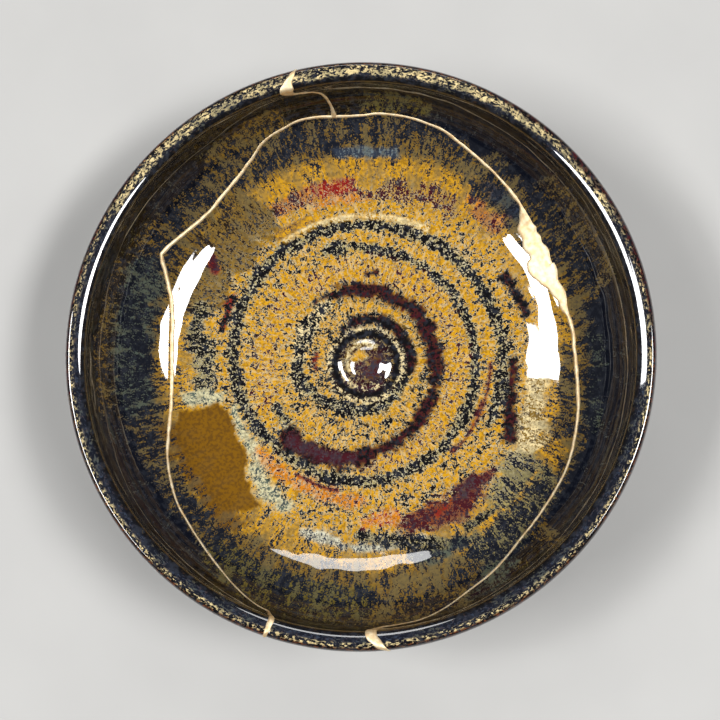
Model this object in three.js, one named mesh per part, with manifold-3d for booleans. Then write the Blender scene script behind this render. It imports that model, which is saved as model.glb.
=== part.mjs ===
import * as THREE from 'three';
import { mergeVertices } from 'three/addons/utils/BufferGeometryUtils.js';
import Module from 'manifold-3d';

// A wheel-thrown stoneware bowl that broke into three shards and was joined again with gold.
// Millimetres, +Z up, with the origin under the centre of the foot. Angles are in degrees, counted
// anticlockwise from +X as seen from above. Every place on the wall is an angle and a distance "down",
// measured along the middle of the wall from the centre of the lip bead towards the floor.

// The thrown form.
const RIM_RADIUS = 100;
const HEIGHT = 60;
const BEAD_RADIUS = 3.4;
const WALL_HALF = 2.9;
const FLOOR_HALF = 3.5;
const CURVE_TOP = 50;
const FLOOR_MIDDLE = 8.5;
const FULLNESS = 2.5;
const WALL_RADIUS = RIM_RADIUS - BEAD_RADIUS;
const BEAD_ENDS = [1.5, 6.5];
const FLOOR_THICKENS = [30, 100];

// The thrower's marks on the floor: a button at the centre and shallow rings round it.
const BUTTON_HEIGHT = 2.2;
const BUTTON_SPREAD = 6;
const RING_PITCH = 8.5;
const RING_DEPTH = 0.35;
const RING_START = 9;
const RING_COUNT = 6;
const RING_END = RING_START + RING_COUNT * RING_PITCH;

// The turned foot ring.
const FOOT_RADIUS = 44;
const FOOT_OUTER = 42;
const FOOT_INNER = 35.5;
const FOOT_EASE = 0.8;
const FOOT_WAIST = 4;
const RECESS_HEIGHT = 5;

// The gold.
const SEAM_PROUD = 0.4;
const CUT_GAP = 0.3;
const OUTER_SHARE = 0.8;

// How finely curves are cut into flats.
const LINE_STEPS = 600;
const COLUMNS = 52;
const BUTTON_STEPS = 3;
const STEPS_PER_RING = 2;
const INNER_WALL_STEPS = 10;
const LIP_STEPS = 6;
const OUTER_WALL_STEPS = 8;
const CLOSER_TO_LIP = 0.85;
const MERGE_WITHIN = 1e-4;

const radians = THREE.MathUtils.degToRad;
const between = THREE.MathUtils.lerp;

// The middle of the wall: straight below the bead, then a full curve that runs flat into the centre.
function wallLine() {
  const line = [new THREE.Vector2(WALL_RADIUS, HEIGHT - BEAD_RADIUS)];
  for (let step = 0; step <= LINE_STEPS; step++) {
    const turn = (Math.PI / 2) * (step / LINE_STEPS);
    const radius = WALL_RADIUS * Math.abs(Math.cos(turn)) ** (2 / FULLNESS);
    const drop = (CURVE_TOP - FLOOR_MIDDLE) * Math.sin(turn) ** (2 / FULLNESS);
    line.push(new THREE.Vector2(radius, CURVE_TOP - drop));
  }
  return line;
}

const LINE = wallLine();
const DISTANCES = LINE.reduce((sums, point, i) => {
  sums.push(i === 0 ? 0 : sums[i - 1] + point.distanceTo(LINE[i - 1]));
  return sums;
}, []);
const FLOOR_CENTRE = DISTANCES[LINE_STEPS + 1];

// How far down the middle of the wall comes in to a radius.
function downAtRadius(radius) {
  const reached = LINE.findIndex((point) => point.x <= radius && point.y < CURVE_TOP);
  return reached < 0 ? FLOOR_CENTRE : DISTANCES[reached];
}

// The point on the middle of the wall at a distance down, and the way into the bowl from it.
// Above the bead's centre the line goes straight on upwards.
function wallPlace(down) {
  if (down <= 0) {
    const middle = new THREE.Vector2(WALL_RADIUS, HEIGHT - BEAD_RADIUS - down);
    return { middle, inward: new THREE.Vector2(-1, 0) };
  }
  const after = Math.max(1, DISTANCES.findIndex((distance) => distance >= down));
  const from = LINE[after - 1];
  const to = LINE[after];
  const share = (down - DISTANCES[after - 1]) / (DISTANCES[after] - DISTANCES[after - 1]);
  const along = to.clone().sub(from).normalize();
  return { middle: from.clone().lerp(to, share), inward: new THREE.Vector2(along.y, -along.x) };
}

// Half the wall's thickness: the bead at the lip, a thinner wall, and a floor that thickens again.
function halfThickness(down) {
  const belowBead = THREE.MathUtils.smoothstep(down, ...BEAD_ENDS);
  const intoFloor = THREE.MathUtils.smoothstep(down, ...FLOOR_THICKENS);
  return between(BEAD_RADIUS, WALL_HALF, belowBead) + (FLOOR_HALF - WALL_HALF) * intoFloor;
}

// A point of the section: "across" is 1 on the inside face, 0 in the middle and -1 on the outside face.
function sectionPoint(down, across, extra = 0) {
  const { middle, inward } = wallPlace(down);
  return middle.addScaledVector(inward, across * halfThickness(down) + Math.sign(across) * extra);
}

// Height added to the floor by the thrower's button and rings.
function thrownRelief(radius) {
  const button = BUTTON_HEIGHT * Math.exp(-((radius / BUTTON_SPREAD) ** 2));
  const inRings = radius > RING_START && radius < RING_END;
  const fade = Math.min(1, (RING_END - radius) / RING_PITCH);
  const turn = (2 * Math.PI * (radius - RING_START)) / RING_PITCH;
  const ring = inRings ? -RING_DEPTH * fade * Math.cos(turn) : 0;
  return button + ring;
}

// Half of the bowl's section, from the floor's centre up the inside, over the lip and down to the foot.
// "extra" makes every face stand that much further out, which is how far the gold stands proud.
function sectionProfile(extra) {
  const profile = [];
  const addFloorPoint = (radius) => {
    const floor = sectionPoint(downAtRadius(radius), 1, extra);
    profile.push(new THREE.Vector2(radius, floor.y + thrownRelief(radius)));
  };
  for (let step = 0; step < BUTTON_STEPS; step++) {
    addFloorPoint(RING_START * (step / BUTTON_STEPS));
  }
  for (let step = 0; step <= RING_COUNT * STEPS_PER_RING; step++) {
    addFloorPoint(RING_START + RING_PITCH * (step / STEPS_PER_RING));
  }
  const wallDown = downAtRadius(RING_END);
  for (let step = 1; step <= INNER_WALL_STEPS; step++) {
    profile.push(sectionPoint(wallDown * (1 - step / INNER_WALL_STEPS) ** CLOSER_TO_LIP, 1, extra));
  }
  for (let step = 1; step < LIP_STEPS; step++) {
    const turn = Math.PI * (1 - step / LIP_STEPS);
    const radius = BEAD_RADIUS + extra;
    profile.push(new THREE.Vector2(
      WALL_RADIUS + radius * Math.cos(turn),
      HEIGHT - BEAD_RADIUS + radius * Math.sin(turn),
    ));
  }
  const footDown = downAtRadius(FOOT_RADIUS);
  for (let step = 0; step <= OUTER_WALL_STEPS; step++) {
    profile.push(sectionPoint(footDown * (step / OUTER_WALL_STEPS) ** CLOSER_TO_LIP, -1, extra));
  }
  profile.push(new THREE.Vector2(FOOT_OUTER + FOOT_EASE, FOOT_WAIST));
  profile.push(new THREE.Vector2(FOOT_OUTER, FOOT_EASE));
  profile.push(new THREE.Vector2(FOOT_OUTER - FOOT_EASE, 0));
  profile.push(new THREE.Vector2(FOOT_INNER + FOOT_EASE, 0));
  profile.push(new THREE.Vector2(FOOT_INNER, FOOT_EASE));
  profile.push(new THREE.Vector2(FOOT_INNER - FOOT_EASE, RECESS_HEIGHT));
  profile.push(new THREE.Vector2(0, RECESS_HEIGHT));
  return profile;
}

// The breaks. Each stop is [angle, down, width inside, turn of the outside face against the inside one].
// The long break runs from the front right rim patch round the rear to the front left rim patch.
const LONG_BREAK = [
  [-86.4, 11, 1.4, 2], [-84.5, 14.2, 1.2, 1], [-80, 15.2, 1, 0], [-77, 16, 1, 0], [-71.5, 20.5, 1, 0],
  [-65.5, 25.5, 1, 0], [-58.5, 29, 1.1, 0], [-49.5, 33.5, 1.1, 0], [-41.5, 35.6, 1.2, 0],
  [-34.5, 36.6, 1.2, 0],
  [-26.5, 37.8, 1.2, 0], [-19.5, 39.7, 1.4, 0], [-12.5, 41.4, 1.6, 0], [-5, 43.6, 1.7, 0], [3, 44.8, 1.7, 0],
  [8, 44.6, 1.7, 0], [13, 45.2, 2.2, 0], [17, 45.9, 3.6, 0], [21.5, 46.9, 6.2, 0], [25, 47.6, 8.2, 0],
  [28, 48.3, 10.4, 0], [31, 46.9, 8.8, 0], [34, 46.3, 7.6, 0], [37, 45.6, 7.4, 0], [39.6, 44.4, 6.4, 0],
  [42, 42.3, 3.8, 0], [45, 39.8, 1.8, 0], [50, 38, 1.5, 0], [55.5, 36, 1.4, 0], [60.5, 34.4, 1.4, 0],
  [66, 32, 1.4, 0], [71, 29, 1.4, 0], [75.5, 27.8, 1.4, 0], [80, 26.9, 1.4, 0], [86.5, 26.7, 1.4, 0],
  [91, 27.8, 1.4, 0], [97, 27.3, 1.5, 0], [101, 26, 1.5, 0], [105.5, 25.6, 1.4, 0], [108.5, 26.7, 1.4, 0],
  [112.5, 28, 1.4, 0], [115.5, 29.9, 1.4, 0], [118.5, 32.9, 1.4, 0], [121.5, 35.3, 1.5, 0],
  [125.5, 37.5, 1.5, 0],
  [130, 39, 1.6, 0], [135, 40.2, 1.6, 0], [139, 39.9, 1.7, 0], [143.5, 38.8, 1.7, 0], [148, 36.7, 1.7, 0],
  [152.2, 34.9, 1.8, 0], [155.7, 39.2, 1.8, 0], [159, 43, 1.8, 0], [163, 46.4, 1.8, 0], [167, 48.3, 1.8, 0],
  [172, 49.4, 1.8, 0], [178, 50.2, 1.7, 0], [185, 50.1, 1.7, 0], [191, 49, 1.6, 0], [196.5, 46.8, 1.5, 0],
  [202, 43.5, 1.4, 0], [207.5, 40, 1.2, 0], [212.5, 37.2, 1.2, 0], [218, 34.4, 1.1, 0], [223, 32.7, 1, 0],
  [229.5, 30, 1, 0], [237, 25.4, 1, 0], [243.7, 19.7, 1, 0], [248, 15, 1, 0], [251, 12, 1.1, 0],
  [252.8, 10, 1.2, 0],
];

// The short break climbs from the long one to the rear rim patch.
const SHORT_BREAK = [
  [97, 27.3, 2.2, 0.2], [97.1, 24.7, 1.6, 0.5], [97.6, 19.3, 1.3, 1.2], [98.6, 12.4, 1.2, 1.6],
  [99.9, 8.4, 1.2, 1.3], [102.5, 5.5, 1.3, -0.8], [104.6, 4, 1.6, -2.2],
];

// Gold patches over the rim: [angle inside, angle outside, width inside, width outside].
const RIM_PATCHES = [
  [105.4, 102.6, 5, 1],
  [252.8, 252.7, 2.3, 1.6],
  [273.6, 276.6, 3.6, 1],
];
const PATCH_BOTTOM = 12;
const PATCH_TOP = -BEAD_RADIUS - 3;
const REACH_PAST_WALL = 2;

// A point in the round at an angle, a distance down the wall and a reach from its middle.
function bowlPoint(angle, down, reach) {
  const { middle, inward } = wallPlace(down);
  middle.addScaledVector(inward, reach);
  const turn = radians(angle);
  return new THREE.Vector3(middle.x * Math.cos(turn), middle.x * Math.sin(turn), middle.y);
}

// The four corners of a break at one stop, inside edge then outside edge, square to the way it runs.
function breakCorners(stop, heading, spare) {
  const [angle, down, width, turn] = stop;
  const radius = wallPlace(down).middle.x;
  const reach = halfThickness(down) + REACH_PAST_WALL;
  const corner = (at, side, half, toward) => bowlPoint(
    at + THREE.MathUtils.radToDeg((-heading.y * side * half) / radius),
    down + heading.x * side * half,
    toward * reach,
  );
  const inside = width / 2 + spare;
  const outside = (width * OUTER_SHARE) / 2 + spare;
  return [
    corner(angle, 1, inside, 1), corner(angle, -1, inside, 1),
    corner(angle + turn, -1, outside, -1), corner(angle + turn, 1, outside, -1),
  ];
}

// A closed bar through the wall that follows the stops of a break.
function breakBar(stops, spare) {
  const sections = stops.map((stop, i) => {
    const before = stops[Math.max(0, i - 1)];
    const after = stops[Math.min(stops.length - 1, i + 1)];
    const round = radians(after[0] - before[0]) * wallPlace(stop[1]).middle.x;
    const heading = new THREE.Vector2(round, after[1] - before[1]).normalize();
    return breakCorners(stop, heading, spare);
  });
  return loft(sections);
}

// A closed bar over the rim, narrower or wider outside than inside.
function patchBar([insideAngle, outsideAngle, insideWidth, outsideWidth], spare) {
  const reach = BEAD_RADIUS + REACH_PAST_WALL;
  const sections = [PATCH_BOTTOM, PATCH_TOP].map((down) => {
    const corner = (angle, width, side, toward) => bowlPoint(
      angle + THREE.MathUtils.radToDeg((side * (width / 2 + spare)) / RIM_RADIUS), down, toward * reach,
    );
    return [
      corner(insideAngle, insideWidth, -1, 1), corner(insideAngle, insideWidth, 1, 1),
      corner(outsideAngle, outsideWidth, 1, -1), corner(outsideAngle, outsideWidth, -1, -1),
    ];
  });
  return loft(sections);
}

// Joins four-cornered sections into one closed mesh with its faces outwards.
function loft(sections) {
  const positions = sections.flat().flatMap((point) => [point.x, point.y, point.z]);
  const faces = [];
  for (let i = 0; i + 1 < sections.length; i++) {
    for (let side = 0; side < 4; side++) {
      const a = i * 4 + side;
      const b = i * 4 + ((side + 1) % 4);
      faces.push(a, a + 4, b, b, a + 4, b + 4);
    }
  }
  const last = (sections.length - 1) * 4;
  faces.push(0, 1, 2, 0, 2, 3, last, last + 2, last + 1, last, last + 3, last + 2);
  const geometry = new THREE.BufferGeometry();
  geometry.setAttribute('position', new THREE.Float32BufferAttribute(positions, 3));
  geometry.setIndex(faces);
  return geometry;
}

const wasm = await Module();
wasm.setup();

// Six times the volume inside a closed mesh, which is negative when its faces point inwards.
function signedVolume(geometry) {
  const { position } = geometry.attributes;
  const point = (i) => new THREE.Vector3().fromBufferAttribute(position, geometry.index.getX(i));
  let volume = 0;
  for (let i = 0; i < geometry.index.count; i += 3) {
    volume += point(i).dot(point(i + 1).cross(point(i + 2)));
  }
  return volume;
}

// Shares the vertices of a closed mesh, drops the slivers left on the axis and turns its faces outwards.
function toSolid(geometry) {
  geometry.deleteAttribute('normal');
  geometry.deleteAttribute('uv');
  const merged = mergeVertices(geometry, MERGE_WITHIN);
  const index = Array.from(merged.index.array);
  const kept = [];
  for (let i = 0; i < index.length; i += 3) {
    const [a, b, c] = index.slice(i, i + 3);
    if (a !== b && b !== c && c !== a) {
      kept.push(a, b, c);
    }
  }
  merged.setIndex(kept);
  const triVerts = new Uint32Array(signedVolume(merged) < 0 ? kept.reverse() : kept);
  const vertProperties = new Float32Array(merged.attributes.position.array);
  return new wasm.Manifold(new wasm.Mesh({ numProp: 3, vertProperties, triVerts }));
}

// The whole bowl as it came off the wheel, with every face "extra" further out.
function turned(extra) {
  const geometry = new THREE.LatheGeometry(sectionProfile(extra), COLUMNS);
  geometry.rotateX(Math.PI / 2);
  return toSolid(geometry);
}

// Every break as one solid, each side "spare" wider than the gold that fills it.
function allBreaks(spare) {
  const bars = [breakBar(LONG_BREAK, spare), breakBar(SHORT_BREAK, spare)];
  RIM_PATCHES.forEach((patch) => bars.push(patchBar(patch, spare)));
  return bars.map(toSolid).reduce((sum, bar) => sum.add(bar));
}

// A named mesh of a finished solid.
function toMesh(name, solid, material) {
  const { vertProperties, triVerts } = solid.getMesh();
  const geometry = new THREE.BufferGeometry();
  geometry.setAttribute('position', new THREE.BufferAttribute(vertProperties, 3));
  geometry.setIndex(new THREE.BufferAttribute(triVerts, 1));
  geometry.computeVertexNormals();
  const mesh = new THREE.Mesh(geometry, material);
  mesh.name = name;
  return mesh;
}

const glaze = new THREE.MeshStandardMaterial({ color: 0x6b4a12, roughness: 0.15, metalness: 0 });
const gold = new THREE.MeshStandardMaterial({ color: 0xd8b36a, roughness: 0.35, metalness: 1 });

// Cutting the breaks out of the turned bowl leaves the three shards, named here by their place along X.
const shards = turned(0).subtract(allBreaks(CUT_GAP)).decompose();
const middleX = (solid) => {
  const { min, max } = solid.boundingBox();
  return (min[0] + max[0]) / 2;
};
const [leftShard, centreShard, rightShard] = [...shards].sort((one, other) => middleX(one) - middleX(other));

const bowl = new THREE.Group();
bowl.add(toMesh('left_rim_shard', leftShard, glaze.clone()));
bowl.add(toMesh('centre_shard', centreShard, glaze.clone()));
bowl.add(toMesh('right_rim_shard', rightShard, glaze.clone()));
bowl.add(toMesh('gold_seam', turned(SEAM_PROUD).intersect(allBreaks(0)), gold));

export default bowl;
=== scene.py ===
import math
import bpy
import numpy as np
from mathutils import Matrix, Vector


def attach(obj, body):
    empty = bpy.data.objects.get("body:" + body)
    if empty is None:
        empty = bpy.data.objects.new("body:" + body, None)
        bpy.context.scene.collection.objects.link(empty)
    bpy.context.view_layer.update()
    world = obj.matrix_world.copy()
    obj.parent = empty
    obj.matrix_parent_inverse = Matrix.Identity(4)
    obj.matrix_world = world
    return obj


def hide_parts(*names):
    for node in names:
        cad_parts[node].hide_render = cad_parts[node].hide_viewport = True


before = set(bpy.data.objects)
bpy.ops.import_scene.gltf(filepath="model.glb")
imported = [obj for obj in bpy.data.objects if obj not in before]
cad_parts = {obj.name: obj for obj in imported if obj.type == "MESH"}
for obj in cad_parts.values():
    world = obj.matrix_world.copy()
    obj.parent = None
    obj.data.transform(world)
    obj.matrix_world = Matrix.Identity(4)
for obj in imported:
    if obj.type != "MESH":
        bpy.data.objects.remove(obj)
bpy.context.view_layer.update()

# A wheel-thrown stoneware bowl that broke into three shards and was joined again with gold.
# Sizes are in millimetres and turned into metres only when a mesh is made. Angles are in degrees,
# anticlockwise from +X as seen from above. "down" is the distance along the middle of the wall from
# the centre of the lip bead. "way" is the same distance on the surface: positive inside the bowl,
# from 0 to -LIP_WAY over the bead, and below -LIP_WAY on the outside.

MM = 0.001

# The thrown form.
RIM_RADIUS = 100.0
HEIGHT = 60.0
BEAD_RADIUS = 3.4
WALL_HALF = 2.9
FLOOR_HALF = 3.5
CURVE_TOP = 50.0
FLOOR_MIDDLE = 8.5
FULLNESS = 2.5
BEAD_ENDS = (1.5, 6.5)
FLOOR_THICKENS = (30.0, 100.0)
WALL_RADIUS = RIM_RADIUS - BEAD_RADIUS
LIP_WAY = math.pi * BEAD_RADIUS

# Section of the lip in millimetres from the middle of the bead, (out, up), from the inside over the top
# to the outside: a bevel that leans into the bowl, and a round outer shoulder.
LIP_SECTION = [
    (-3.4, 0.0), (-3.38, 0.7), (-3.2, 1.3), (-2.75, 1.8), (-1.85, 2.24), (-0.95, 2.6), (-0.05, 2.89),
    (0.9, 3.13), (1.8, 3.13), (2.5, 2.75), (3.05, 2.0), (3.35, 1.0), (3.4, 0.0),
]

# The thrower's marks.
BUTTON_HEIGHT = 2.2
BUTTON_EDGE = (3.0, 11.5)
RING_PITCH = 8.5
RING_DEPTH = 0.12
RING_START = 9.0
RING_END = 48.0

# The turned foot ring.
FOOT_RADIUS = 44.0
FOOT_OUTER = 42.0
FOOT_INNER = 35.5
FOOT_EASE = 0.8
FOOT_WAIST = 4.0
RECESS_HEIGHT = 5.0

# The breaks and the gold.
CRACK_HALF = 0.15
GOLD_PROUD = 0.36
GOLD_SUNK = 0.12
GOLD_STEM = 2.4
OUTER_SHARE = 0.8


def smooth(value, low, high):
    """0 below low, 1 above high, and an S-shaped rise between them."""
    share = np.clip((value - low) / (high - low), 0.0, 1.0)
    return share * share * (3.0 - 2.0 * share)


def waves(where, size, seed, count=12):
    """Unevenness with a spread of about 1: a sum of plane waves of about one length, in random directions."""
    draw = np.random.default_rng(seed)
    headings = draw.normal(size=(count, 3))
    headings /= np.linalg.norm(headings, axis=1, keepdims=True)
    lengths = size * draw.uniform(0.7, 1.5, count)
    phases = draw.uniform(0.0, 2.0 * math.pi, count)
    total = np.zeros(where.shape[:-1])
    for heading, length, phase in zip(headings, lengths, phases):
        total += np.sin(2.0 * math.pi * (where @ heading) / length + phase)
    return total / math.sqrt(count / 2.0)


def around(angle, radius, height):
    """Points at angles, distances from the axis and heights."""
    turn = np.radians(angle)
    height = np.broadcast_to(height, np.broadcast(turn, radius).shape)
    return np.stack([radius * np.cos(turn), radius * np.sin(turn), height], -1)


# ---------------------------------------------------------------- the section of the wall

def wall_line(steps=3000):
    """The middle of the wall as evenly spaced points (down, radius, height) with the way into the bowl:
    a straight drop under the bead, then a quarter of a superellipse that runs flat into the axis."""
    turn = np.linspace(0.0, math.pi / 2.0, 6000)
    radius = WALL_RADIUS * np.cos(turn).clip(0.0) ** (2.0 / FULLNESS)
    height = CURVE_TOP - (CURVE_TOP - FLOOR_MIDDLE) * np.sin(turn) ** (2.0 / FULLNESS)
    radius = np.concatenate([[WALL_RADIUS], radius])
    height = np.concatenate([[HEIGHT - BEAD_RADIUS], height])
    reached = np.concatenate([[0.0], np.cumsum(np.hypot(np.diff(radius), np.diff(height)))])
    down = np.linspace(0.0, reached[-1], steps)
    radius = np.interp(down, reached, radius)
    height = np.interp(down, reached, height)
    along_r = np.gradient(radius, down)
    along_z = np.gradient(height, down)
    size = np.hypot(along_r, along_z)
    return down, radius, height, along_z / size, -along_r / size


LINE_DOWN, LINE_RADIUS, LINE_HEIGHT, INWARD_R, INWARD_Z = wall_line()
FLOOR_CENTRE = float(LINE_DOWN[-1])
FOOT_DOWN = float(np.interp(-FOOT_RADIUS, -LINE_RADIUS, LINE_DOWN))


def lip_line():
    """The lip's section as a table (way, out, up, facing out, facing up), from the inside to the outside."""
    stops = np.array(LIP_SECTION)
    chord = np.concatenate([[0.0], np.cumsum(np.hypot(*np.diff(stops, axis=0).T))])
    even = np.linspace(0.0, chord[-1], 300)
    line = np.stack([np.interp(even, chord, column) for column in stops.T])
    window = np.hanning(27) / np.hanning(27).sum()
    ends = (2.0 * line[:, :1] - line[:, 13:0:-1], line, 2.0 * line[:, -1:] - line[:, -2:-15:-1])
    out, up = (np.convolve(row, window, "valid") for row in np.hstack(ends))
    along_out, along_up = np.gradient(out), np.gradient(up)
    size = np.hypot(along_out, along_up)
    return even * -LIP_WAY / chord[-1], out, up, -along_up / size, along_out / size


LIP_TABLE = [column[::-1] for column in lip_line()]


def half_thickness(down):
    """Half the wall: the bead at the lip, a thinner wall, and a floor that thickens again."""
    below_bead = smooth(down, *BEAD_ENDS)
    into_floor = smooth(down, *FLOOR_THICKENS)
    return BEAD_RADIUS + (WALL_HALF - BEAD_RADIUS) * below_bead + (FLOOR_HALF - WALL_HALF) * into_floor


def bare_surface(way):
    """Radius, height and outward direction of the surface at a way, before any marks:
    the middle line plus half the thickness inside, the lip's section over the bead, and minus it outside."""
    way = np.asarray(way, float)
    over = (way < 0.0) & (way > -LIP_WAY)
    down = np.where(over, 0.0, np.where(way < 0.0, -way - LIP_WAY, way)).clip(0.0, FLOOR_CENTRE)
    side = np.where(way < 0.0, -1.0, 1.0)
    half = half_thickness(down)
    normal_r = side * np.interp(down, LINE_DOWN, INWARD_R)
    normal_z = side * np.interp(down, LINE_DOWN, INWARD_Z)
    radius = np.interp(down, LINE_DOWN, LINE_RADIUS) + normal_r * half
    height = np.interp(down, LINE_DOWN, LINE_HEIGHT) + normal_z * half
    lip_out, lip_up, facing_r, facing_z = (np.interp(way, LIP_TABLE[0], column) for column in LIP_TABLE[1:])
    return (np.where(over, WALL_RADIUS + lip_out, radius), np.where(over, HEIGHT - BEAD_RADIUS + lip_up, height),
            np.where(over, facing_r, normal_r), np.where(over, facing_z, normal_z))


def thrown_marks(angle, way, radius, height):
    """How far the clay stands out of the plain form: a button at the centre, a shallow groove that winds
    out from it, fine finger lines up the wall, and a little unevenness away from the lip."""
    button = BUTTON_HEIGHT * (1.0 - smooth(radius, *BUTTON_EDGE))
    turns = (radius - RING_START) / RING_PITCH - angle / 360.0
    floor = smooth(radius, RING_START, RING_START + 4.0) * (1.0 - smooth(radius, RING_END - 6.0, RING_END + 6.0))
    groove = -RING_DEPTH * floor * np.cos(2.0 * math.pi * turns)
    wall = smooth(way, 8.0, 20.0) * (1.0 - smooth(way, 45.0, 62.0)) + smooth(-way, 30.0, 42.0)
    lines = 0.012 * wall * np.sin(2.0 * math.pi * (way / 3.4 - angle / 360.0) + 1.5 * np.sin(way / 5.0))
    place = around(angle, radius, height)
    uneven = 0.07 * waves(place, 34.0, 5) + 0.02 * waves(place, 11.0, 6)
    below_lip = smooth(way, 0.0, 8.0) + smooth(-way, LIP_WAY + 6.0, LIP_WAY + 16.0)
    return np.where(way > 0.0, button + groove, 0.0) + lines + uneven * below_lip


def surface(angle, way, proud=0.0):
    """Points of the finished surface at angles and ways, in millimetres, moved out by proud."""
    radius, height, normal_r, normal_z = bare_surface(way)
    rise = thrown_marks(angle, way, radius, height) + proud
    return around(angle, radius + normal_r * rise, height + normal_z * rise)


# ---------------------------------------------------------------- the breaks

# Stops of the long break: (angle, down, width of the gold). It runs from the front right rim patch
# round the rear to the front left one, and takes in the wide fill where a chip was lost.
LONG_BREAK = [
    (-84.6, 14.2, 1.3), (-80, 15.2, 1.0), (-77, 16.0, 1.0), (-71.5, 20.5, 1.0), (-65.5, 25.5, 1.0),
    (-58.5, 29, 1.1), (-49.5, 33.5, 1.1), (-41.5, 35.6, 1.2), (-34.5, 36.6, 1.2), (-26.5, 37.8, 1.2),
    (-19.5, 39.7, 1.4), (-12.5, 41.4, 1.6), (-5, 43.6, 1.7), (3, 44.8, 1.7), (8, 44.6, 1.7), (13, 45.2, 2.2),
    (17, 45.9, 3.6), (21.5, 46.9, 6.2), (25, 47.6, 8.2), (28, 48.3, 10.4), (31, 46.9, 8.8), (34, 46.3, 7.6),
    (37, 45.6, 7.4), (39.6, 44.4, 6.4), (42, 42.3, 3.8), (45, 39.8, 1.8), (50, 38, 1.5), (55.5, 36, 1.4),
    (60.5, 34.4, 1.4), (66, 32, 1.4), (71, 29, 1.4), (75.5, 27.8, 1.4), (80, 26.9, 1.4), (86.5, 26.7, 1.4),
    (91, 27.8, 1.4), (97, 27.3, 1.7), (101, 26, 1.5), (105.5, 25.6, 1.4), (108.5, 26.7, 1.4), (112.5, 28, 1.4),
    (115.5, 29.9, 1.4), (118.5, 32.9, 1.4), (121.5, 35.3, 1.5), (125.5, 37.5, 1.5), (130, 39, 1.6),
    (135, 40.2, 1.6), (139, 39.9, 1.7), (143.5, 38.8, 1.7), (148, 36.7, 1.7), (151.6, 35.1, 1.8),
    (152.8, 35.2, 1.8), (155.7, 39.2, 1.8), (159, 43, 1.8), (163, 46.4, 1.8), (167, 48.3, 1.8),
    (172, 49.4, 1.8), (178, 50.2, 1.7), (185, 50.1, 1.7), (191, 49, 1.6), (196.5, 46.8, 1.5), (202, 43.5, 1.4),
    (207.5, 40, 1.2), (212.5, 37.2, 1.2), (218, 34.4, 1.1), (223, 32.7, 1.0), (229.5, 30, 1.0), (237, 25.4, 1.0),
    (243.7, 19.7, 1.0), (248, 15.6, 1.0), (250.7, 14.0, 1.2),
]

# Edges of the wide fill on the inside: (angle, down of the upper edge, down of the lower edge).
WIDE_FILL = [
    (11, 43.9, 45.9), (13, 44.4, 46.2), (15, 44.3, 47.6), (18, 43.9, 47.8), (21.6, 43.8, 50), (25, 43.5, 51.5),
    (28, 43.0, 54.3), (31, 42.4, 51.6), (34, 42.6, 50), (36.6, 42.0, 50), (39.6, 41, 48.2), (42, 40.2, 44.3),
    (45, 39.0, 40.5), (47, 38.4, 39.8),
]

# The short break climbs from the long one to the rear rim patch: (angle, way, width).
SHORT_BREAK = [
    (97.1, 27.6, 3.0), (97.1, 26, 2.1), (97.1, 24.4, 1.5), (97.4, 20, 1.25), (98.1, 14.5, 1.2),
    (98.9, 10.6, 1.2), (100.3, 7.6, 1.3), (102.4, 6.2, 1.6),
]

# Gold over the rim and down the outside: (angle, way, width), from inside to outside.
REAR_PATCH = [
    (104.2, 5.0, 2.2), (105, 3, 3.6), (105.4, 0.5, 4.9), (105.4, -1.5, 4.8), (104.9, -3.4, 3.4), (104.2, -5, 2.5),
    (103.4, -6.6, 2.0), (102.8, -8.2, 1.1), (102.4, -10.5, 0.8), (102, -14, 0.9), (101.3, -18.7, 1.0),
    (100.2, -23.1, 1.0), (98.8, -30, 1.1), (97.7, -35.4, 1.4), (97.3, -38, 2.4),
]
LEFT_PATCH = [
    (250.7, 14.0, 1.2), (251.2, 12, 1.3), (251.8, 8, 1.7), (252.6, 2, 2.1), (252.9, -1.5, 2.3), (252.9, -4, 2.1),
    (252.8, -6, 1.7), (252.6, -8.5, 1.5), (252.2, -12, 1.2), (251.6, -17, 1.1), (250.7, -24.7, 1.3),
]
RIGHT_PATCH = [
    (-84.6, 14.2, 1.3), (-85.4, 13.0, 1.8), (-86.4, 9.5, 3.2), (-86.7, 4, 4.1), (-86.7, -1, 4.1), (-86.4, -3, 3.9),
    (-85.8, -4.8, 3.2), (-85, -6.4, 2.6), (-84.2, -7.8, 1.9), (-83.5, -9.4, 1.1), (-83.2, -12, 0.9),
    (-83.4, -17, 0.9), (-84.6, -24.9, 1.2),
]


def smooth_path(stops, spacing=0.5):
    """A Catmull-Rom curve through stops, as rows sampled about every spacing millimetres."""
    stops = np.array(stops, float)
    padded = np.vstack([2.0 * stops[0] - stops[1], stops, 2.0 * stops[-1] - stops[-2]])
    pieces = []
    for before, start, end, after in zip(padded[:-3], padded[1:-2], padded[2:-1], padded[3:]):
        reach = math.hypot(math.radians(end[0] - start[0]) * 85.0, end[1] - start[1])
        t = np.linspace(0.0, 1.0, max(2, round(reach / spacing) + 1))[:-1, None]
        pieces.append(0.5 * (2.0 * start + (end - before) * t
                             + (2.0 * before - 5.0 * start + 4.0 * end - after) * t ** 2
                             + (3.0 * start - before - 3.0 * end + after) * t ** 3))
    pieces.append(stops[-1:])
    return np.vstack(pieces)


LONG_PATH = smooth_path(LONG_BREAK)
# The break as a table all the way round: across the front it carries on level from end to end.
BREAK_TABLE = np.vstack([LONG_PATH[:, :2], [LONG_PATH[0, 0] + 360.0, LONG_PATH[0, 1]]])


def break_down(angle):
    """How far down the long break runs at each angle."""
    return np.interp(angle, BREAK_TABLE[:, 0], BREAK_TABLE[:, 1])


def line_of(stops):
    """Makes a function that gives the angle of a break line at each way."""
    path = smooth_path(stops)
    path = path[np.argsort(path[:, 1])]
    return lambda way: np.interp(way, path[:, 1], path[:, 0])


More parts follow.
